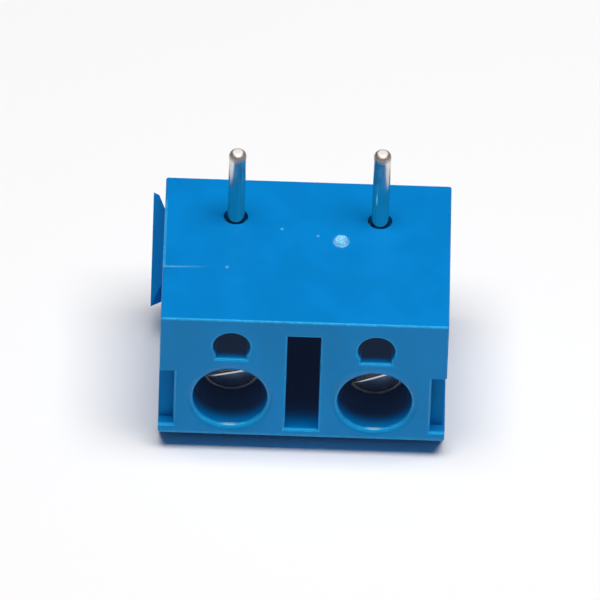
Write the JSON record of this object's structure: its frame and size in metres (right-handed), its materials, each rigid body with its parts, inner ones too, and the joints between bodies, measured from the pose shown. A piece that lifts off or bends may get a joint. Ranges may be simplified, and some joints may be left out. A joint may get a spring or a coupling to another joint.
{
  "type": "pcb screw terminal",
  "caption": "Screw terminal block for a printed circuit board: wires enter one face, solder pins leave the opposite face, screws sit in wells in the front.",
  "frame": {"origin": "midway between the two solder pins, in the plane of the face that meets the board", "axes": "+Z along the solder pins away from the block, +X along the row of poles, -Y is the side that the screws are driven from"},
  "size_m": [0.0155, 0.0111, 0.0139],
  "materials": {
    "housing_plastic": "blue moulded polyamide, satin",
    "clamp_brass": "tin-plated brass, satin",
    "pin_tin": "tinned brass wire, bright",
    "guard_steel": "stainless spring strip",
    "screw_steel": "zinc-plated steel"
  },
  "bodies": {
    "block": {"housing": "housing_plastic", "clamp_left": "clamp_brass", "clamp_right": "clamp_brass", "solder_pin_left": "pin_tin", "solder_pin_right": "pin_tin"},
    "guard_left": {"wire_guard_left": "guard_steel"},
    "guard_right": {"wire_guard_right": "guard_steel"},
    "screw_left": {"clamp_screw_left": "screw_steel"},
    "screw_right": {"clamp_screw_right": "screw_steel"}
  },
  "joints": [
    {"name": "guard_slide_left", "type": "slide", "parent": "block", "child": "guard_left", "axis": [0, 1, 0], "range_m": [0, 0.002]},
    {"name": "screw_turn_left", "type": "hinge", "parent": "guard_left", "child": "screw_left", "pos_m": [-0.00375, -0.004, -0.00535], "axis": [0, 1, 0], "range_deg": [0, 1440]},
    {"name": "guard_slide_right", "type": "slide", "parent": "block", "child": "guard_right", "axis": [0, 1, 0], "range_m": [0, 0.002]},
    {"name": "screw_turn_right", "type": "hinge", "parent": "guard_right", "child": "screw_right", "pos_m": [0.00375, -0.004, -0.00535], "axis": [0, 1, 0], "range_deg": [0, 1440]}
  ],
  "couplings": [
    {"joint": "screw_turn_left", "follows": "guard_slide_left", "rad_per_m": 12566},
    {"joint": "screw_turn_right", "follows": "guard_slide_right", "rad_per_m": 12566}
  ]
}
